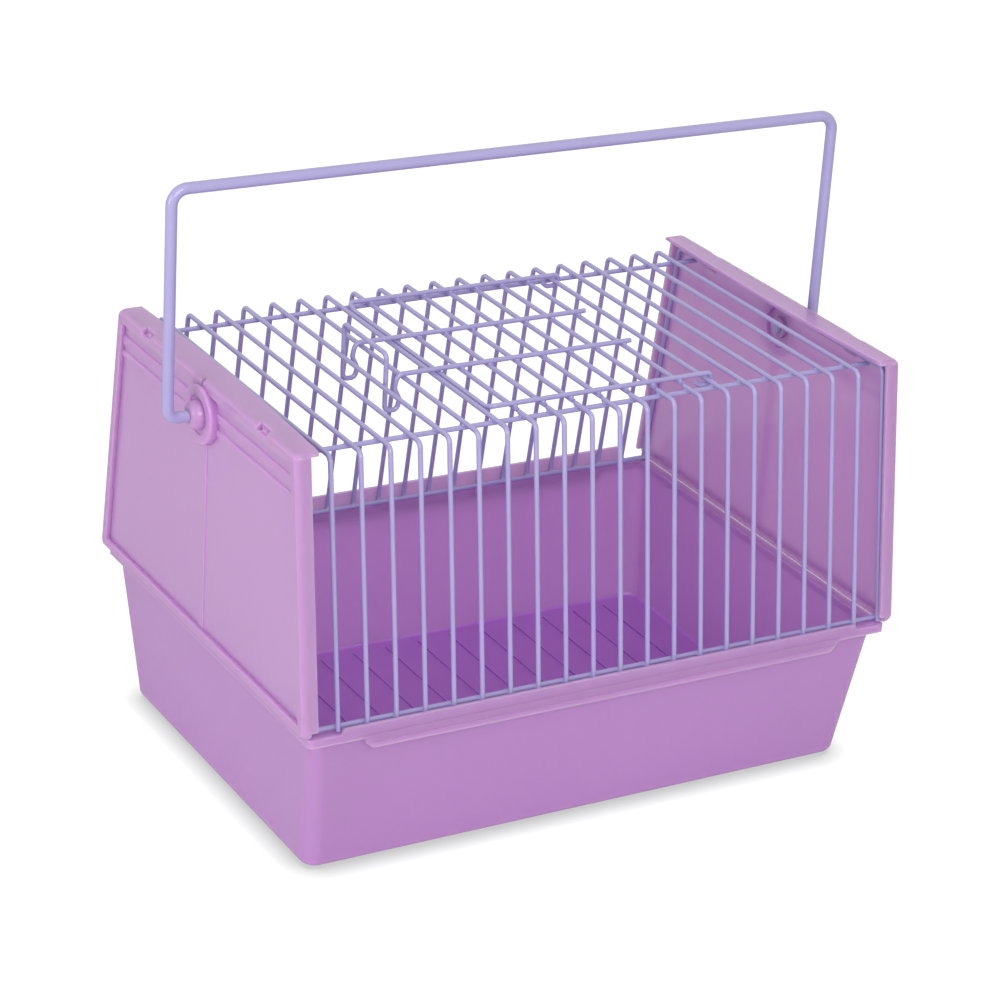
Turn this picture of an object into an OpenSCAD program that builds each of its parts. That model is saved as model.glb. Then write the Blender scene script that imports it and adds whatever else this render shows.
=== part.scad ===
// Bird travel carrier: a moulded tub, a wire cage with two moulded end panels,
// a hinged roof door with a sprung wire latch, and a swinging carry handle.
// X runs along the carrier, Y from front to back and Z up; the feet stand on Z = 0.

/* [Cage wires] */
// Thickness of every cage wire
wire_d = 2; // [1.8:0.1:2.2]
// Centre spacing of the wires along the carrier
wire_pitch = 12.7; // [12.4:0.1:13.2]
// Step from the last wire to the end hoop beside the panel
end_hoop_step = 12.25; // [11.5:0.05:13]
// Half width between the wires at the foot of the cage
cage_foot_half = 93.9; // [92:0.1:95]
// Half width between the sharp top corners of the wires
cage_top_half = 78.3; // [76:0.1:80]
// Height of the top wires above the ground
cage_top_z = 174.8; // [170:0.1:180]
// Centre line radius of the two upper bends in a wire
corner_bend_r = 3; // [2.5:0.5:6]
// Distance from the top corner inwards to the top rail
top_rail_inset = 11.4; // [10:0.1:13]

/* [Roof door] */
// How far the cut bars run on past the top rail
cut_bar_overhang = 1.6; // [1.2:0.1:2.4]
// Gap between a cut bar and the end of its door bar
door_end_gap = 1.6; // [1.0:0.1:2.5]
// How far the door bars run on past the door frame
door_bar_overhang = 2.2; // [1.5:0.1:3]
// Play between a hinge eye and the wire it turns on
eye_play = 0.4; // [0.3:0.05:0.5]
// Length of the straight return under each hinge eye
eye_tail = 3; // [2:0.5:4]
// Inward dip of the free end of the frame
door_dip = 5; // [4:0.5:7]

/* [Latch] */
// Half spacing of the two latch arms
latch_half = 18.5; // [14:0.5:24]
// Drop of the hook below the top wires
latch_drop = 12.5; // [11:0.5:14]
// Rise of the finger bar above the top wires
latch_rise = 11.7; // [9:0.1:14]

/* [Carry handle] */
// Thickness of the handle rod
handle_d = 4.7; // [4.2:0.1:5]
// Height of the handle pivots above the ground
pivot_z = 164.5; // [163:0.1:165]
// Rise of the grip above the pivots
handle_rise = 93.7; // [85:0.1:105]
// Distance from the panel hub out to the handle leg
handle_standoff = 8.5; // [7:0.5:14]
// Play of the handle ends in their bores, all round
pivot_play = 0.05; // [0.03:0.01:0.1]
// Bend radius at the grip corners
grip_bend_r = 6.5; // [5:0.5:9]
// Bend radius at the pivot ends
foot_bend_r = 4.5; // [4:0.5:6]

/* [End panels] */
// Wall of the end panels
panel_wall = 1.8; // [1.4:0.1:2.2]
// Thickness of the flat field of a panel
field_t = 1.5; // [1.2:0.1:1.8]
// Width of the raised border
border_w = 5; // [4.4:0.1:6]
// Height of the border above the field
border_rise = 2.1; // [1.7:0.1:2.4]
// Reach of the side flanges past the field towards the cage
flange_reach = 2.9; // [2.5:0.1:3.2]
// Reach of the top flange past the field towards the cage
top_flange_reach = 6.2; // [5:0.1:7]
// Panel edge beyond the wires, measured across the carrier
panel_cover = 4.9; // [4.5:0.1:5.4]
// Panel top edge above the top wires
panel_head = 5; // [4.8:0.1:6]
// Diameter of the round handle boss
boss_d = 24.5; // [22:0.5:27]
// Height of the boss face above the field
boss_rise = 3.8; // [3.2:0.1:4.6]
// Diameter of the domed hub at its foot
dome_d = 12.5; // [11:0.5:13]
// Height of the domed hub above the boss face
dome_rise = 4.1; // [3:0.1:5]

/* [Tub] */
// Height of the ledge that carries the cage
ledge_z = 66.3; // [60:0.1:72]
// Wall of the tub
tub_wall = 2; // [1.6:0.1:2.4]
// Thickness of the tub floor
floor_t = 2.4; // [2:0.1:3]
// Height of the four feet
foot_h = 0.6; // [0.4:0.1:2]
// Overhang of the ledge beyond the tub wall at the ends
ledge_over_x = 2.5; // [2.4:0.1:3.2]
// Overhang of the ledge beyond the tub wall at front and back
ledge_over_y = 3.4; // [3:0.1:3.8]
// Inward slope of the end walls from rim to floor
taper_x = 4.8; // [4:0.1:8]
// Inward slope of the front and back walls from rim to floor
taper_y = 9.6; // [8:0.1:13]
// Spacing of the ribs across the tub floor
rib_pitch = 16.3; // [14:0.1:16.8]
// Height of the front lip above the ledge
front_lip_h = 2.3; // [1.6:0.1:3]
// Height of the back lip above the ledge
back_lip_h = 6.7; // [5:0.1:8]

/* [Hidden] */

plastic = [0.76, 0.61, 0.78];
tub_plastic = [0.69, 0.54, 0.75];
enamel = [0.67, 0.65, 0.84];

// Overlaps and clearances shared by the pieces
lap = 0.05;
swell = 0.04;
weld_gap = 0.05;
rest_gap = 0.3;
side_gap = 0.2;
cut = 1;
skin = 0.01;

// Cage, measured on the centre lines of the wires
wire_count = 20;
first_cut_wire = 7;
hinge_wire = 14;
rail_foot_z = ledge_z + rest_gap + wire_d / 2;
cage_lean = atan((cage_foot_half - cage_top_half) / (cage_top_z - rail_foot_z));
wire_end_z = ledge_z + rest_gap + wire_d / 2 * sin(cage_lean);
wire_end_y = cage_foot_half + (rail_foot_z - wire_end_z) * tan(cage_lean);
bottom_rail_y = cage_foot_half - wire_d / cos(cage_lean) - weld_gap;
top_rail_y = cage_top_half - top_rail_inset;
top_rail_z = cage_top_z - wire_d - weld_gap;
end_hoop_x = (wire_count - 1) / 2 * wire_pitch + end_hoop_step;
rail_half = end_hoop_x + wire_d / 2;
cut_bar_y = top_rail_y - cut_bar_overhang;

// Roof door
eye_r = wire_d + eye_play;
hinge_x = wire_x(hinge_wire);
door_frame_z = cage_top_z + eye_r;
door_bar_z = door_frame_z - wire_d - weld_gap;
door_bar_half = cut_bar_y - door_end_gap;
door_leg_y = door_bar_half - door_bar_overhang;
free_end_gap = 0.5;
door_free_x = wire_x(first_cut_wire - 1) + wire_d + free_end_gap;
door_corner_r = 2;
door_dip_r = 4;
eye_curl = [2.2, 1.7];
eye_curl_r = 1.6;

// Latch, hooked over the wire beyond the free end of the door
catch_x = wire_x(first_cut_wire - 2);
latch_overhang = 3;
latch_start_x = wire_x(hinge_wire - 1) + latch_overhang;
hook_z = cage_top_z - latch_drop;
finger_z = cage_top_z + latch_rise;
shoulder_x = catch_x - 3.75;
nose_x = catch_x - 5.05;
nose_z = cage_top_z - 3.4;
waist_x = catch_x - 2.65;
waist_z = cage_top_z - 8.2;
hook_in_x = catch_x - 3.45;
hook_out_x = catch_x - 9.05;
finger_x = catch_x - 9.25;
latch_bends = [3, 3, 3, 2.4, 2.4, 2.5, 2.5, 2.4, 2.4, 3, 3, 3];

// End panels
panel_in_x = rail_half + side_gap;
field_x = panel_in_x + field_t;
border_x = field_x + border_rise;
flange_x = panel_in_x - flange_reach;
panel_foot_z = ledge_z + rest_gap;
panel_top_z = cage_top_z + panel_head;
panel_foot_half = cage_foot_half + panel_cover;
panel_top_half = cage_top_half + panel_cover;
panel_lean = atan((panel_foot_half - panel_top_half) / (panel_top_z - panel_foot_z));
panel_foot_r = 3.5;
panel_top_r = 3;
border_step = 3.4;
edge_profile = [[3, 0], [1.8, 0.3], [0.8, 0.8], [0, 1.6]];
arc_steps = 8;
flange_x_top = panel_in_x - top_flange_reach;
flange_bow = 2.4;
flange_bow_r = (pow(panel_top_half, 2) + pow(flange_bow, 2)) / (2 * flange_bow);
side_flange_lift = 3.4;
band_rise = 0.9;
band_edge = 0.5;
band_drops = [[10.8, 15], [17.6, 20.5]];
spine_w = 4.8;
spine_rise = 0.5;
clip_y = 54;
pocket_w = 9;
pocket_h = 2.7;
pocket_deep = 2.4;
pocket_wall = 1;
nub_r = 2.2;
slot_w = 2.2;
slot_deep = 1.6;
bead_w = 8;
bead_h = 1.6;
bead_gap = 0.35;

// Handle boss and handle
bore_d = handle_d + 2 * pivot_play;
boss_face_x = field_x + boss_rise;
boss_round = 0.9;
dish_d = boss_d - 8;
dish_deep = 0.8;
dome_rim = 0.7;
hub_d = bore_d + 4.4;
hub_x = boss_face_x + dome_rise;
recess_d = boss_d - 6.5;
recess_deep = 2;
handle_half = hub_x + handle_standoff;
handle_end_x = panel_in_x - 1.5;
handle_top_z = pivot_z + handle_rise;

// Tub
ledge_margin_x = 0.5;
ledge_margin_y = 3.3;
ledge_half_x = rail_half + ledge_margin_x;
ledge_half_y = cage_foot_half + ledge_margin_y;
ledge_t = 1.9;
rim_h = 3.5;
rim_edge = 1.6;
rim_corner_r = 2.2;
rim_z = ledge_z - rim_h;
rim_groove_gap = 0.2;
mouth_cut = 0.2;
wall_half_x = ledge_half_x - ledge_over_x;
wall_half_y = ledge_half_y - ledge_over_y;
wall_corner_r = 6;
base_half_x = wall_half_x - taper_x;
base_half_y = wall_half_y - taper_y;
base_corner_r = 7;
base_r = 4;
base_steps = 5;
slab_t = 0.4;
foot_d = 9;
foot_inset = 8.4;
foot_root = 1;
rib_count = 14;
rib_w = 1.2;
rib_h = 0.5;
rib_end_gap = 8.5;
lip_t = 1.4;
front_lip_half = ledge_half_x - 14.7;
back_lip_half = ledge_half_x - 11.9;
front_lip_r = 1.2;
back_lip_r = 3;
lip_slope = 1.5;
skirt_half = 112;
skirt_slope = 5;
skirt_h = 4.4;
step_out = 0.25;
step_drops = [2.4, 5.6];

function wire_x(i) = wire_pitch * (i - (wire_count - 1) / 2);
function unit(v) = v / norm(v);
function arc(c, r, from, to) =
    [for (k = [0 : arc_steps]) let (a = from + (to - from) * k / arc_steps) c + r * [cos(a), sin(a)]];
function panel_half(z, inset) =
    panel_foot_half - (z - panel_foot_z) * tan(panel_lean) - inset / cos(panel_lean);

// Straight round rod between two points
module straight(a, b, d) {
    v = b - a;
    u = unit(v);
    s = abs(u[2]) < 0.9 ? unit(cross([0, 0, 1], u)) : unit(cross([1, 0, 0], u));
    w = cross(u, s);
    multmatrix([[s[0], w[0], u[0], a[0]], [s[1], w[1], u[1], a[1]], [s[2], w[2], u[2], a[2]]])
        cylinder(d = d, h = norm(v), $fn = 48);
}

// Round bend that turns a rod from direction u to direction v near the sharp corner p
module bend(p, u, v, r, d) {
    turn = acos(u * v);
    start = p - u * r * tan(turn / 2);
    n = unit(cross(u, v));
    c = start + cross(n, u) * r;
    x = (start - c) / r;
    multmatrix([[x[0], u[0], n[0], c[0]], [x[1], u[1], n[1], c[1]], [x[2], u[2], n[2], c[2]]])
        rotate_extrude(angle = turn, $fn = 96)
            translate([r, 0])
                circle(d = d + swell, $fn = 48);
}

// Bent wire through sharp corner points, one bend radius for each inner point
module bent_wire(pts, radii, d) {
    last = len(pts) - 1;
    dirs = [for (i = [0 : last - 1]) unit(pts[i + 1] - pts[i])];
    trim = [for (i = [0 : last])
        i == 0 || i == last ? 0 : radii[i - 1] * tan(acos(dirs[i - 1] * dirs[i]) / 2) - lap];
    for (i = [0 : last - 1])
        straight(pts[i] + dirs[i] * trim[i], pts[i + 1] - dirs[i] * trim[i + 1], d);
    for (i = [1 : last - 1])
        bend(pts[i], dirs[i - 1], dirs[i], radii[i - 1], d);
}

// Cage wire that runs up the front, over the roof and down the back
module hoop(x) {
    color(enamel)
        bent_wire([[x, -wire_end_y, wire_end_z], [x, -cage_top_half, cage_top_z],
            [x, cage_top_half, cage_top_z], [x, wire_end_y, wire_end_z]],
            [corner_bend_r, corner_bend_r], wire_d);
}

// Cage wire that stops at the door opening, on the front (side -1) or the back (side 1)
module cut_bar(i, side) {
    x = wire_x(i);
    color(enamel)
        bent_wire([[x, side * wire_end_y, wire_end_z], [x, side * cage_top_half, cage_top_z],
            [x, side * cut_bar_y, cage_top_z]], [corner_bend_r], wire_d);
}

// Long rail welded across the wires
module rail(y, z) {
    color(enamel)
        straight([-rail_half, y, z], [rail_half, y, z], wire_d);
}

// Bar across the door, lying under the legs of the door frame
module door_bar(i) {
    x = wire_x(i);
    color(enamel)
        straight([x, -door_bar_half, door_bar_z], [x, door_bar_half, door_bar_z], wire_d);
}

// Open eye round the hinge wire at the end of a door leg, with a straight return and a short curl
module hinge_eye(y) {
    z = cage_top_z - eye_r;
    translate([hinge_x, y, cage_top_z])
        rotate([90, 0, 0])
            rotate([0, 0, -90])
                rotate_extrude(angle = 180, $fn = 96)
                    translate([eye_r, 0])
                        circle(d = wire_d + swell, $fn = 48);
    bent_wire([[hinge_x + lap, y, z], [hinge_x - eye_tail, y, z],
        [hinge_x - eye_tail - eye_curl[0], y, z + eye_curl[1]]], [eye_curl_r], wire_d);
}

// Plate of the panel outline between two stations along X, drawn in by inset
module panel_plate(x0, x1, inset) {
    rb = max(panel_foot_r - inset, 0.5);
    rt = max(panel_top_r - inset, 0.5);
    zb = panel_foot_z + inset + rb;
    zt = panel_top_z - inset - rt;
    half = concat(
        arc([panel_half(zb, inset) - rb / cos(panel_lean), zb], rb, -90, panel_lean),
        arc([panel_half(zt, inset) - rt / cos(panel_lean), zt], rt, panel_lean, 90));
    translate([x0, 0, 0])
        rotate([90, 0, 90])
            linear_extrude(x1 - x0)
                polygon(concat(half, [for (k = [len(half) - 1 : -1 : 0]) [-half[k][0], half[k][1]]]));
}

// Shell of a panel: edge flanges, raised border and sunken field
module panel_shell() {
    difference() {
        union() {
            difference() {
                hull() {
                    panel_plate(flange_x, border_x - edge_profile[0][0], 0);
                    for (p = edge_profile)
                        panel_plate(border_x - p[0] - skin, border_x - p[0], p[1]);
                }
                panel_plate(flange_x - cut, field_x, panel_wall);
                translate([flange_x - cut, -panel_foot_half - cut, panel_foot_z - cut])
                    cube([panel_in_x - flange_x + cut, 2 * (panel_foot_half + cut), side_flange_lift + cut]);
            }
            panel_plate(panel_in_x, border_x, border_step);
        }
        panel_plate(field_x, border_x + cut, border_w);
    }
}

// Wide top flange over the end of the cage, its free edge bowed gently towards the cage
module top_flange() {
    turn = asin(panel_top_half / flange_bow_r);
    edge = arc([flange_x_top - flange_bow + flange_bow_r, 0], flange_bow_r, 180 - turn, 180 + turn);
    intersection() {
        panel_plate(flange_x_top - flange_bow - cut, panel_in_x, 0);
        translate([0, 0, panel_top_z - panel_wall])
            linear_extrude(panel_wall + cut)
                polygon(concat(edge, [[panel_in_x, -panel_top_half], [panel_in_x, panel_top_half]]));
    }
}

// Raised bands across the upper part of the field
module panel_bands() {
    intersection() {
        panel_plate(field_x - skin, border_x - skin, border_w - skin);
        for (drop = band_drops)
            translate([0, panel_top_half, panel_top_z])
                rotate([90, 0, 0])
                    linear_extrude(2 * panel_top_half)
                        polygon([[field_x - cut, -drop[1]], [field_x, -drop[1]],
                            [field_x + band_rise, band_edge - drop[1]],
                            [field_x + band_rise, -drop[0] - band_edge],
                            [field_x + band_rise - band_edge, -drop[0]], [field_x - cut, -drop[0]]]);
    }
}

// Solid wall behind the pockets, round nubs in them, and snap beads under the end hoop
module panel_top_details() {
    for (side = [-1, 1]) {
        translate([panel_in_x, side * clip_y - pocket_w / 2 - pocket_wall, pocket_z - 2 * pocket_wall])
            cube([field_x - panel_in_x + skin, pocket_w + 2 * pocket_wall, pocket_h + pocket_wall]);
        translate([0, side * clip_y + bead_w / 2, bead_z])
            rotate([90, 0, 0])
                linear_extrude(bead_w)
                    polygon([[panel_in_x + skin, 0], [end_hoop_x, 0], [panel_in_x + skin, -bead_h]]);
    }
}
bead_z = cage_top_z - wire_d / 2 - bead_gap;
pocket_z = panel_top_z - pocket_h;

// Round boss with a dished face and a domed hub round the bore
module boss() {
    r = boss_d / 2;
    x0 = panel_in_x;
    x1 = boss_face_x - boss_round;
    dish_x = boss_face_x - dish_deep;
    tip = bore_d / 2 + dome_rim;
    translate([0, 0, pivot_z])
        rotate([0, 90, 0])
            rotate_extrude($fn = 96)
                polygon(concat([[0, x0], [r, x0]],
                    [for (k = [0 : arc_steps]) let (a = 90 * k / arc_steps)
                        [r - boss_round * (1 - cos(a)), x1 + boss_round * sin(a)]],
                    [[dish_d / 2, boss_face_x], [dish_d / 2, dish_x]],
                    [for (k = [0 : arc_steps]) let (a = 90 * k / arc_steps)
                        [tip + (dome_d / 2 - tip) * cos(a), dish_x + (hub_x - dish_x) * sin(a)]],
                    [[0, hub_x]]));
}

// One end panel, drawn for the right-hand end
module end_panel() {
    difference() {
        union() {
            difference() {
                union() {
                    panel_shell();
                    panel_bands();
                    top_flange();
                    panel_top_details();
                }
                for (side = [-1, 1])
                    translate([border_x - pocket_deep, side * clip_y - pocket_w / 2, pocket_z])
                        cube([pocket_deep + cut, pocket_w, pocket_h + cut]);
            }
            for (side = [-1, 1])
                translate([field_x - 0.5, side * clip_y, pocket_z - 0.7])
                    rotate([0, 90, 0])
                        cylinder(r = nub_r, h = 1.5, $fn = 48);
            translate([field_x - skin, -spine_w / 2, panel_foot_z + border_w - cut])
                cube([spine_rise + skin, spine_w, pivot_z - panel_foot_z - border_w]);
            boss();
        }
        translate([panel_in_x - cut, 0, pivot_z])
            rotate([0, 90, 0])
                difference() {
                    cylinder(d = recess_d, h = recess_deep + cut, $fn = 96);
                    translate([0, 0, -cut])
                        cylinder(d = hub_d, h = recess_deep + 3 * cut, $fn = 96);
                }
        translate([panel_in_x - cut, 0, pivot_z])
            rotate([0, 90, 0])
                cylinder(d = bore_d, h = hub_x - panel_in_x + 2 * cut, $fn = 96);
        translate([border_x - slot_deep, -slot_w / 2, pivot_z + boss_d / 2 - 0.2])
            cube([slot_deep + cut, slot_w, panel_top_z - pivot_z]);
    }
}

// Rounded rectangle given by its half sizes
module rounded_rect(hx, hy, r) {
    square([2 * (hx - r), 2 * hy], center = true);
    square([2 * hx, 2 * (hy - r)], center = true);
    for (x = [-1, 1], y = [-1, 1])
        translate([x * (hx - r), y * (hy - r)])
            circle(r = r, $fn = 48);
}

// Tapered body of the tub, drawn in by the wall for the inside
module tub_form(inset, lift) {
    hull() {
        translate([0, 0, rim_z - slab_t])
            linear_extrude(slab_t)
                rounded_rect(wall_half_x - inset, wall_half_y - inset, wall_corner_r - inset);
        for (k = [0 : base_steps]) {
            a = 90 * k / base_steps;
            in = inset + (base_r - inset) * (1 - sin(a));
            translate([0, 0, foot_h + base_r + lift - (base_r - inset) * cos(a)])
                linear_extrude(skin)
                    rounded_rect(base_half_x - in, base_half_y - in, base_corner_r - in);
        }
    }
}

// Flat rim with a turned-down edge round the mouth of the tub
module tub_rim() {
    mouth_x = wall_half_x - tub_wall;
    mouth_y = wall_half_y - tub_wall;
    difference() {
        translate([0, 0, rim_z])
            linear_extrude(rim_h)
                rounded_rect(ledge_half_x, ledge_half_y, rim_corner_r);
        translate([0, 0, rim_z - cut])
            linear_extrude(rim_h + 2 * cut)
                rounded_rect(mouth_x, mouth_y, wall_corner_r - tub_wall);
        translate([0, 0, rim_z - cut])
            linear_extrude(rim_h - ledge_t + cut)
                difference() {
                    rounded_rect(ledge_half_x - rim_edge, ledge_half_y - rim_edge, rim_corner_r - rim_edge);
                    rounded_rect(wall_half_x + rim_groove_gap, wall_half_y + rim_groove_gap, wall_corner_r);
                }
    }
}

// Upright lip standing on the ledge, front (side -1) or back (side 1)
module lip(side, half, h, r) {
    translate([0, side > 0 ? ledge_half_y : lip_t - ledge_half_y, 0])
        rotate([90, 0, 0])
            linear_extrude(lip_t)
                polygon(concat([[-half - lip_slope, ledge_z - 0.5], [half + lip_slope, ledge_z - 0.5]],
                    arc([half - r, ledge_z + h - r], r, 0, 90),
                    arc([r - half, ledge_z + h - r], r, 90, 180)));
}

// Stepped apron that hangs below the rim, front (side -1) or back (side 1)
module skirt(side) {
    low = rim_z - skirt_h;
    for (k = [0 : len(step_drops) - 1]) {
        top = ledge_z - step_drops[k];
        out = (k + 1) * step_out;
        translate([0, side > 0 ? ledge_half_y + out : rim_edge - ledge_half_y, 0])
            rotate([90, 0, 0])
                linear_extrude(rim_edge + out)
                    polygon([[-skirt_end(top), top], [skirt_end(top), top],
                        [skirt_end(low), low], [-skirt_end(low), low]]);
    }
}
function skirt_end(z) = skirt_half - skirt_slope * max(0, rim_z - z) / skirt_h;

// Raised ribs that run from front to back across the tub floor
module floor_ribs() {
    for (i = [0 : rib_count - 1])
        translate([(i - (rib_count - 1) / 2) * rib_pitch - rib_w / 2, rib_end_gap - base_half_y,
            foot_h + floor_t - 0.3])
            cube([rib_w, 2 * (base_half_y - rib_end_gap), rib_h + 0.3]);
}

// Four round feet under the tub
module feet() {
    for (x = [-1, 1], y = [-1, 1])
        translate([x * (base_half_x - foot_inset), y * (base_half_y - foot_inset), 0])
            cylinder(d = foot_d, h = foot_h + foot_root, $fn = 48);
}

module tub() {
    color(tub_plastic)
        union() {
            difference() {
                tub_form(0, 0);
                tub_form(tub_wall, floor_t - tub_wall);
                translate([0, 0, rim_z - mouth_cut])
                    linear_extrude(cut)
                        rounded_rect(wall_half_x - tub_wall, wall_half_y - tub_wall,
                            wall_corner_r - tub_wall);
            }
            tub_rim();
            lip(-1, front_lip_half, front_lip_h, front_lip_r);
            lip(1, back_lip_half, back_lip_h, back_lip_r);
            skirt(-1);
            skirt(1);
            floor_ribs();
            feet();
        }
}

module left_end_panel() {
    color(plastic)
        mirror([1, 0, 0])
            end_panel();
}

module right_end_panel() {
    color(plastic)
        end_panel();
}

module front_bottom_rail() { rail(-bottom_rail_y, rail_foot_z); }
module back_bottom_rail() { rail(bottom_rail_y, rail_foot_z); }
module front_top_rail() { rail(-top_rail_y, top_rail_z); }
module back_top_rail() { rail(top_rail_y, top_rail_z); }

module left_end_hoop() { hoop(-end_hoop_x); }
module right_end_hoop() { hoop(end_hoop_x); }
module hoop_01() { hoop(wire_x(0)); }
module hoop_02() { hoop(wire_x(1)); }
module hoop_03() { hoop(wire_x(2)); }
module hoop_04() { hoop(wire_x(3)); }
module hoop_05() { hoop(wire_x(4)); }
module hoop_06() { hoop(wire_x(5)); }
module hoop_07() { hoop(wire_x(6)); }
module hoop_08() { hoop(wire_x(14)); }
module hoop_09() { hoop(wire_x(15)); }
module hoop_10() { hoop(wire_x(16)); }
module hoop_11() { hoop(wire_x(17)); }
module hoop_12() { hoop(wire_x(18)); }
module hoop_13() { hoop(wire_x(19)); }

module front_bar_1() { cut_bar(7, -1); }
module front_bar_2() { cut_bar(8, -1); }
module front_bar_3() { cut_bar(9, -1); }
module front_bar_4() { cut_bar(10, -1); }
module front_bar_5() { cut_bar(11, -1); }
module front_bar_6() { cut_bar(12, -1); }
module front_bar_7() { cut_bar(13, -1); }
module back_bar_1() { cut_bar(7, 1); }
module back_bar_2() { cut_bar(8, 1); }
module back_bar_3() { cut_bar(9, 1); }
module back_bar_4() { cut_bar(10, 1); }
module back_bar_5() { cut_bar(11, 1); }
module back_bar_6() { cut_bar(12, 1); }
module back_bar_7() { cut_bar(13, 1); }

// U-shaped wire with an eye on each leg and a dipped bar at the free end
module door_frame() {
    color(enamel) {
        bent_wire([[hinge_x + lap, -door_leg_y, door_frame_z], [door_free_x, -door_leg_y, door_frame_z],
            [door_free_x, door_dip - door_leg_y, door_bar_z],
            [door_free_x, door_leg_y - door_dip, door_bar_z],
            [door_free_x, door_leg_y, door_frame_z], [hinge_x + lap, door_leg_y, door_frame_z]],
            [door_corner_r, door_dip_r, door_dip_r, door_corner_r], wire_d);
        hinge_eye(-door_leg_y);
        hinge_eye(door_leg_y);
    }
}

module door_bar_1() { door_bar(7); }
module door_bar_2() { door_bar(8); }
module door_bar_3() { door_bar(9); }
module door_bar_4() { door_bar(10); }
module door_bar_5() { door_bar(11); }
module door_bar_6() { door_bar(12); }
module door_bar_7() { door_bar(13); }

// One wire: arm, hook under the catch wire, riser, finger bar and back again
module door_latch() {
    y = latch_half;
    side = [[latch_start_x, door_frame_z], [shoulder_x, door_frame_z], [nose_x, nose_z],
        [waist_x, waist_z], [hook_in_x, hook_z], [hook_out_x, hook_z], [finger_x, finger_z]];
    color(enamel)
        bent_wire(concat([for (p = side) [p[0], -y, p[1]]],
            [for (k = [len(side) - 1 : -1 : 0]) [side[k][0], y, side[k][1]]]), latch_bends, wire_d);
}

// One rod: pivot end, leg, grip, leg and pivot end
module carry_handle() {
    color(enamel)
        bent_wire([[-handle_end_x, 0, pivot_z], [-handle_half, 0, pivot_z],
            [-handle_half, 0, handle_top_z], [handle_half, 0, handle_top_z],
            [handle_half, 0, pivot_z], [handle_end_x, 0, pivot_z]],
            [foot_bend_r, grip_bend_r, grip_bend_r, foot_bend_r], handle_d);
}

tub();
left_end_panel();
right_end_panel();
front_bottom_rail();
back_bottom_rail();
front_top_rail();
back_top_rail();
left_end_hoop();
right_end_hoop();
hoop_01();
hoop_02();
hoop_03();
hoop_04();
hoop_05();
hoop_06();
hoop_07();
hoop_08();
hoop_09();
hoop_10();
hoop_11();
hoop_12();
hoop_13();
front_bar_1();
front_bar_2();
front_bar_3();
front_bar_4();
front_bar_5();
front_bar_6();
front_bar_7();
back_bar_1();
back_bar_2();
back_bar_3();
back_bar_4();
back_bar_5();
back_bar_6();
back_bar_7();
door_frame();
door_bar_1();
door_bar_2();
door_bar_3();
door_bar_4();
door_bar_5();
door_bar_6();
door_bar_7();
door_latch();
carry_handle();
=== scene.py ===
import math

import bmesh
import bpy
from mathutils import Euler, Matrix, Vector


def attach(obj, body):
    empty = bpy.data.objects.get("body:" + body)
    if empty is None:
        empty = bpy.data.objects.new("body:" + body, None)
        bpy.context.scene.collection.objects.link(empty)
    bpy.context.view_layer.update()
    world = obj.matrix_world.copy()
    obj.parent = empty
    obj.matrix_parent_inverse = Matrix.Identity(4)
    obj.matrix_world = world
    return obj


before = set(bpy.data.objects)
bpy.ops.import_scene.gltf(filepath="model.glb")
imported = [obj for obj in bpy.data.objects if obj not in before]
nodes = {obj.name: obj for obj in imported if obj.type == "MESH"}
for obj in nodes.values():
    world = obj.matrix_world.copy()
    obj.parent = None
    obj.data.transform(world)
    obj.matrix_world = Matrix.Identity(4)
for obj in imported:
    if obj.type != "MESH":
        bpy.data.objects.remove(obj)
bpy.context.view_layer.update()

MM = 0.001
WHITE = (1, 1, 1, 1)

# Wires of the cage and the roof door, on their centre lines
WIRE_COUNT = 20
FIRST_DOOR_WIRE = 7
HINGE_WIRE = 14
WIRE_PITCH = 12.7 * MM
CROSSING = 2.05 * MM
TOP_Z = 174.8 * MM
TOP_RAIL_Y = 66.9 * MM
TOP_RAIL_Z = TOP_Z - CROSSING
FOOT_Y = 93.9 * MM
FOOT_RAIL_Y = 91.83 * MM
FOOT_RAIL_Z = 67.6 * MM
DOOR_Z = 177.2 * MM
DOOR_BAR_Z = DOOR_Z - CROSSING
DOOR_LEG_Y = 61.5 * MM
LATCH_Y = 18.5 * MM

# Half sizes of a weld's bead, across the wires and through the crossing
WELD_WIDE = 1.3 * MM
WELD_THIN = 0.75 * MM

# The floor inside the tub, and the bounds that hold its ribs
PAN_FADE_TOP = 12 * MM
PAN_FADE_FOOT = 4 * MM
RIB_REACH_X = 107 * MM
RIB_REACH_Y = 77 * MM
RIB_TOP = 4 * MM

# Clean-up and shading of the moulded pieces
WELD_DISTANCE = 0.002 * MM
FLAT_ANGLE = math.radians(0.6)
SMOOTH_ANGLE = math.radians(32)
NORMAL_WEIGHT = 50

# Floor: what the lights meet, what the camera meets, and how far the contact shadow reaches
FLOOR_HALF = 6
FLOOR_LIT = 0.93
FLOOR_SEEN = 0.1
CONTACT_REACH = 13 * MM
CONTACT_SAMPLES = 12
CONTACT_OPEN = (0.4, 0.95)
CONTACT_GLOW = (0.55, 1.02)
ROOM_LIGHT = 0.42

# Softboxes: name, place in metres, width and height, watts
LIGHT_AIM = (0, 0, 0.1)
SOFTBOXES = (
    ("overhead", (-0.2, -0.3, 1.5), (1.4, 1.4), 3),
    ("front", (-0.45, -1.55, 1.0), (1.0, 0.8), 12.5),
    ("left", (-1.7, -0.35, 0.6), (0.9, 0.9), 8.5),
)

# The photograph's viewpoint, in metres, degrees and millimetres of lens
CAMERA_AT = (-0.634738, -1.066986, 0.647936)
CAMERA_TURN = (66.345, -3.365, -29.311)
SENSOR_WIDTH = 36
FOCAL_LENGTH = 116.384
CLIP_NEAR = 0.05
CLIP_FAR = 50


def wire_x(i):
    return WIRE_PITCH * (i - (WIRE_COUNT - 1) / 2)


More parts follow.
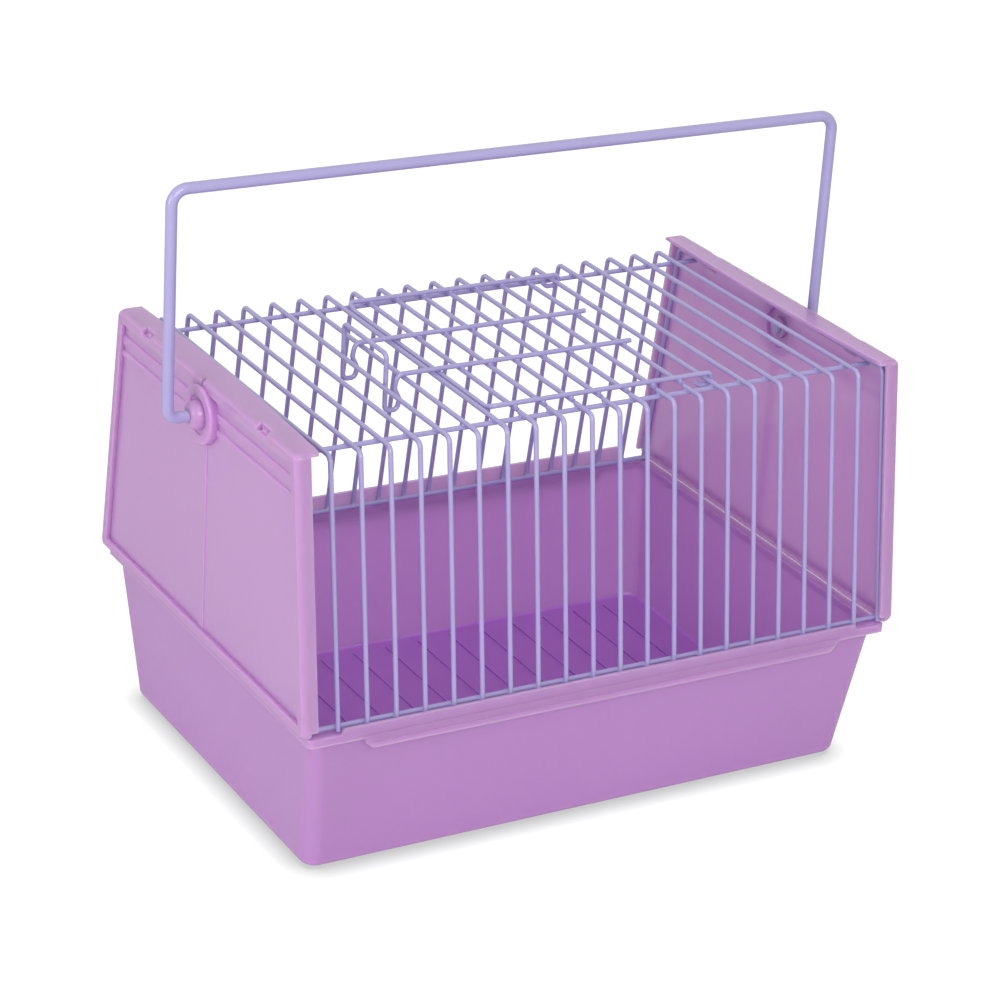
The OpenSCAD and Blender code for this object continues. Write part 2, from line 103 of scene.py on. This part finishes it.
def srgb(r, g, b):
    """Linear colour of an 8-bit sRGB colour."""
    def one(v):
        v /= 255
        return v / 12.92 if v <= 0.04045 else ((v + 0.055) / 1.055) ** 2.4
    return (one(r), one(g), one(b), 1)


# Shader nodes

def new_material(name):
    m = bpy.data.materials.new(name)
    m.use_nodes = True
    nt = m.node_tree
    nt.nodes.clear()
    out = nt.nodes.new("ShaderNodeOutputMaterial")
    bsdf = nt.nodes.new("ShaderNodeBsdfPrincipled")
    nt.links.new(bsdf.outputs["BSDF"], out.inputs["Surface"])
    return m, nt, bsdf


def noise(nt, coord, scale, detail=1.0, rough=0.5):
    n = nt.nodes.new("ShaderNodeTexNoise")
    n.inputs["Scale"].default_value = scale
    n.inputs["Detail"].default_value = detail
    n.inputs["Roughness"].default_value = rough
    nt.links.new(coord, n.inputs["Vector"])
    return n.outputs["Fac"]


def mottle(nt, fac, darker, colour):
    """Noise turned into a soft change between two near colours."""
    r = nt.nodes.new("ShaderNodeValToRGB")
    for element, place, shade in zip(r.color_ramp.elements, (0.25, 0.75), (darker, colour)):
        element.position = place
        element.color = shade
    nt.links.new(fac, r.inputs["Fac"])
    return r.outputs["Color"]


def map_range(nt, value, source, target=(0.0, 1.0)):
    r = nt.nodes.new("ShaderNodeMapRange")
    r.inputs["From Min"].default_value, r.inputs["From Max"].default_value = source
    r.inputs["To Min"].default_value, r.inputs["To Max"].default_value = target
    nt.links.new(value, r.inputs["Value"])
    return r.outputs["Result"]


def spread(nt, fac, low, high):
    """Noise, which keeps near its middle, spread over a range."""
    return map_range(nt, fac, (0.3, 0.7), (low, high))


def calculate(nt, operation, a, b):
    """Math node of a socket with another socket or a number."""
    n = nt.nodes.new("ShaderNodeMath")
    n.operation = operation
    nt.links.new(a, n.inputs[0])
    if isinstance(b, (int, float)):
        n.inputs[1].default_value = b
    else:
        nt.links.new(b, n.inputs[1])
    return n.outputs[0]


def within(nt, value, reach):
    return calculate(nt, "LESS_THAN", calculate(nt, "ABSOLUTE", value, 0), reach)


def blend(nt, factor, base, over):
    mix = nt.nodes.new("ShaderNodeMix")
    mix.data_type = "RGBA"
    nt.links.new(factor, mix.inputs["Factor"])
    nt.links.new(base, mix.inputs[6])
    mix.inputs[7].default_value = over
    return mix.outputs[2]


def axes(nt, vector):
    s = nt.nodes.new("ShaderNodeSeparateXYZ")
    nt.links.new(vector, s.inputs[0])
    return s.outputs


def bump(nt, height, strength, distance, under=None):
    b = nt.nodes.new("ShaderNodeBump")
    b.inputs["Strength"].default_value = strength
    b.inputs["Distance"].default_value = distance
    nt.links.new(height, b.inputs["Height"])
    if under:
        nt.links.new(under, b.inputs["Normal"])
    return b.outputs["Normal"]


# Materials

def pan_tone(nt, place, tone, painted_pan_shade, painted_rib_shade):
    """Painted shade: a deeper colour on the up-facing floor inside the tub, for the dimmer light there,
    and darker still on the flanks of its ribs, for the shadow in their grooves.
    """
    at = axes(nt, place.outputs["Object"])
    up = map_range(nt, axes(nt, place.outputs["Normal"])["Z"], (0.3, 0.9))
    low = map_range(nt, at["Z"], (PAN_FADE_TOP, PAN_FADE_FOOT))
    tone = blend(nt, calculate(nt, "MULTIPLY", up, low), tone, painted_pan_shade)
    # Painted shade: steep rib flanks low on the floor get a darker line colour, for the shadow in the
    # grooves.
    inside = calculate(nt, "MULTIPLY", within(nt, at["X"], RIB_REACH_X), within(nt, at["Y"], RIB_REACH_Y))
    flank = calculate(nt, "LESS_THAN", up, 0.5)
    near_floor = calculate(nt, "LESS_THAN", at["Z"], RIB_TOP)
    rib = calculate(nt, "MULTIPLY", inside, calculate(nt, "MULTIPLY", flank, near_floor))
    return blend(nt, rib, tone, painted_rib_shade)


def moulded_plastic(name, colour, darker, pan=None):
    """Glossy translucent moulding: faint flow shading, slight waviness and a very fine grain."""
    m, nt, bsdf = new_material(name)
    place = nt.nodes.new("ShaderNodeTexCoord")
    coord = place.outputs["Object"]
    tone = mottle(nt, noise(nt, coord, 9, rough=0.4), darker, colour)
    if pan:
        tone = pan_tone(nt, place, tone, *pan)
    nt.links.new(tone, bsdf.inputs["Base Color"])
    nt.links.new(spread(nt, noise(nt, coord, 14), 0.13, 0.17), bsdf.inputs["Roughness"])
    waves = bump(nt, noise(nt, coord, 26, rough=0.4), 0.2, 0.12 * MM)
    grain = bump(nt, noise(nt, coord, 2600), 0.05, 0.01 * MM, waves)
    nt.links.new(grain, bsdf.inputs["Normal"])
    bsdf.inputs["IOR"].default_value = 1.5
    bsdf.inputs["Subsurface Weight"].default_value = 1.0
    bsdf.inputs["Subsurface Radius"].default_value = (1.0, 0.85, 1.0)
    bsdf.inputs["Subsurface Scale"].default_value = 10 * MM
    return m


def enamel(name, colour, darker, ripple):
    """Dipped enamel over steel wire: glossy, slightly uneven in thickness."""
    m, nt, bsdf = new_material(name)
    coord = nt.nodes.new("ShaderNodeTexCoord").outputs["Object"]
    nt.links.new(mottle(nt, noise(nt, coord, 60, 2), darker, colour), bsdf.inputs["Base Color"])
    nt.links.new(spread(nt, noise(nt, coord, 90), 0.16, 0.24), bsdf.inputs["Roughness"])
    nt.links.new(bump(nt, noise(nt, coord, ripple), 0.12, 0.1 * MM), bsdf.inputs["Normal"])
    bsdf.inputs["IOR"].default_value = 1.5
    bsdf.inputs["Coat Weight"].default_value = 0.4
    bsdf.inputs["Coat Roughness"].default_value = 0.06
    return m


# Painted shade: the deeper floor colour and the darker rib-flank line inside the tub stand in for dimmer
# light and shadow on the same plastic.
PAN_SHADE_COLOUR = srgb(200, 128, 250)
RIB_FLANK_SHADE = srgb(120, 60, 170)
PANEL = moulded_plastic("lilac_moulding", srgb(197, 150, 205), srgb(195, 147, 203))
TUB = moulded_plastic("violet_moulding", srgb(190, 143, 201), srgb(188, 140, 199),
                      pan=(PAN_SHADE_COLOUR, RIB_FLANK_SHADE))
WIRE = enamel("wire_enamel", srgb(176, 168, 218), srgb(171, 163, 214), ripple=60)
ROD = enamel("rod_enamel", srgb(177, 169, 218), srgb(173, 165, 215), ripple=40)
FINISHES = {"tub": TUB, "left_end_panel": PANEL, "right_end_panel": PANEL, "carry_handle": ROD}

for name, obj in nodes.items():
    for slot in obj.material_slots:
        slot.material = FINISHES.get(name, WIRE)


# Smooth shading of the moulded pieces

def smooth_group():
    """Node group that shades every face smooth and keeps edges sharper than SMOOTH_ANGLE."""
    g = bpy.data.node_groups.new("smooth_by_angle", "GeometryNodeTree")
    g.interface.new_socket("Geometry", in_out="INPUT", socket_type="NodeSocketGeometry")
    g.interface.new_socket("Geometry", in_out="OUTPUT", socket_type="NodeSocketGeometry")
    start = g.nodes.new("NodeGroupInput")
    end = g.nodes.new("NodeGroupOutput")
    faces = g.nodes.new("GeometryNodeSetShadeSmooth")
    edges = g.nodes.new("GeometryNodeSetShadeSmooth")
    edges.domain = "EDGE"
    edges.inputs["Shade Smooth"].default_value = False
    bend = g.nodes.new("GeometryNodeInputMeshEdgeAngle")
    sharp = calculate(g, "GREATER_THAN", bend.outputs["Unsigned Angle"], SMOOTH_ANGLE)
    g.links.new(sharp, edges.inputs["Selection"])
    g.links.new(start.outputs[0], faces.inputs[0])
    g.links.new(faces.outputs[0], edges.inputs[0])
    g.links.new(edges.outputs[0], end.inputs[0])
    return g


def soften(obj, group):
    """Weld and clean the mesh, then blend the normals over the small facets."""
    weld = obj.modifiers.new("weld", "WELD")
    weld.merge_threshold = WELD_DISTANCE
    flat = obj.modifiers.new("flat", "DECIMATE")
    flat.decimate_type = "DISSOLVE"
    flat.angle_limit = FLAT_ANGLE
    obj.modifiers.new("smooth", "NODES").node_group = group
    even = obj.modifiers.new("even", "WEIGHTED_NORMAL")
    even.keep_sharp = True
    even.weight = NORMAL_WEIGHT


smooth = smooth_group()
for moulding in ("tub", "left_end_panel", "right_end_panel"):
    soften(nodes[moulding], smooth)


# Weld beads, which only the picture shows

def add_object(name, bm, mat):
    me = bpy.data.meshes.new(name)
    bm.to_mesh(me)
    bm.free()
    me.materials.append(mat)
    o = bpy.data.objects.new(name, me)
    bpy.context.scene.collection.objects.link(o)
    return o


def weld_object(name, bm, body):
    o = add_object(name, bm, WIRE)
    for p in o.data.polygons:
        p.use_smooth = True
    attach(o, body)


def bead(bm, at, half):
    """A weld's small cushion of enamel between two crossing wires."""
    got = bmesh.ops.create_icosphere(bm, subdivisions=2, radius=1)
    for v in got["verts"]:
        v.co = Vector((v.co.x * half[0], v.co.y * half[1], v.co.z * half[2])) + Vector(at)


FLAT_BEAD = (WELD_WIDE, WELD_WIDE, WELD_THIN)
UPRIGHT_BEAD = (WELD_WIDE, WELD_THIN, WELD_WIDE)

cage_beads = bmesh.new()
for i in range(WIRE_COUNT):
    for side in (-1, 1):
        bead(cage_beads, (wire_x(i), side * TOP_RAIL_Y, (TOP_Z + TOP_RAIL_Z) / 2), FLAT_BEAD)
        bead(cage_beads, (wire_x(i), side * (FOOT_Y + FOOT_RAIL_Y) / 2, FOOT_RAIL_Z), UPRIGHT_BEAD)
weld_object("cage_welds", cage_beads, "cage")

door_beads = bmesh.new()
for i in range(FIRST_DOOR_WIRE, HINGE_WIRE):
    for y in (-DOOR_LEG_Y, -LATCH_Y, LATCH_Y, DOOR_LEG_Y):
        bead(door_beads, (wire_x(i), y, (DOOR_Z + DOOR_BAR_Z) / 2), FLAT_BEAD)
weld_object("door_welds", door_beads, "door")


# Floor, white to the camera but for the shadow where the tub meets it: a painted contact shadow from
# ambient occlusion, with a weak share of the lights' own shadow

def floor_material():
    m, nt, bsdf = new_material("pale_floor")
    bsdf.inputs["Roughness"].default_value = 0.8
    bsdf.inputs["Specular IOR Level"].default_value = 0.0
    bsdf.inputs["Emission Color"].default_value = WHITE
    seen = nt.nodes.new("ShaderNodeLightPath").outputs["Is Camera Ray"]
    nt.links.new(map_range(nt, seen, (0.0, 1.0), (FLOOR_LIT, FLOOR_SEEN)), bsdf.inputs["Base Color"])
    # Painted contact shadow: ambient occlusion near the tub lowers the floor's camera-ray glow.
    contact = nt.nodes.new("ShaderNodeAmbientOcclusion")
    contact.samples = CONTACT_SAMPLES
    contact.inputs["Distance"].default_value = CONTACT_REACH
    glow = map_range(nt, contact.outputs["AO"], CONTACT_OPEN, CONTACT_GLOW)
    nt.links.new(calculate(nt, "MULTIPLY", seen, glow), bsdf.inputs["Emission Strength"])
    return m


grid = bmesh.new()
bmesh.ops.create_grid(grid, x_segments=1, y_segments=1, size=FLOOR_HALF)
floor = add_object("floor", grid, floor_material())


# Light and camera

def background(nt, strength):
    b = nt.nodes.new("ShaderNodeBackground")
    b.inputs["Color"].default_value = WHITE
    b.inputs["Strength"].default_value = strength
    return b.outputs[0]


def studio_world():
    """Soft even light, and plain white where the camera or a reflection meets the background."""
    world = bpy.data.worlds.new("studio")
    world.use_nodes = True
    nt = world.node_tree
    nt.nodes.clear()
    path = nt.nodes.new("ShaderNodeLightPath")
    seen = calculate(nt, "MAXIMUM", path.outputs["Is Camera Ray"], path.outputs["Is Glossy Ray"])
    mix = nt.nodes.new("ShaderNodeMixShader")
    nt.links.new(seen, mix.inputs[0])
    nt.links.new(background(nt, ROOM_LIGHT), mix.inputs[1])
    nt.links.new(background(nt, 1.0), mix.inputs[2])
    out = nt.nodes.new("ShaderNodeOutputWorld")
    nt.links.new(mix.outputs[0], out.inputs["Surface"])
    return world


def softbox(name, at, size, power):
    d = bpy.data.lights.new(name, "AREA")
    d.shape = "RECTANGLE"
    d.size, d.size_y = size
    d.energy = power
    o = bpy.data.objects.new(name, d)
    o.location = at
    o.rotation_mode = "QUATERNION"
    o.rotation_quaternion = (Vector(LIGHT_AIM) - Vector(at)).to_track_quat("-Z", "Y")
    bpy.context.scene.collection.objects.link(o)


bpy.context.scene.world = studio_world()
for box in SOFTBOXES:
    softbox(*box)

camera = bpy.data.cameras.new("camera")
camera.sensor_fit = "HORIZONTAL"
camera.sensor_width = SENSOR_WIDTH
camera.lens = FOCAL_LENGTH
camera.clip_start = CLIP_NEAR
camera.clip_end = CLIP_FAR
eye = bpy.data.objects.new("camera", camera)
turn = Euler([math.radians(a) for a in CAMERA_TURN]).to_matrix().to_4x4()
eye.matrix_world = Matrix.Translation(CAMERA_AT) @ turn
bpy.context.scene.collection.objects.link(eye)
bpy.context.scene.camera = eye

bpy.context.scene.view_settings.view_transform = "Standard"
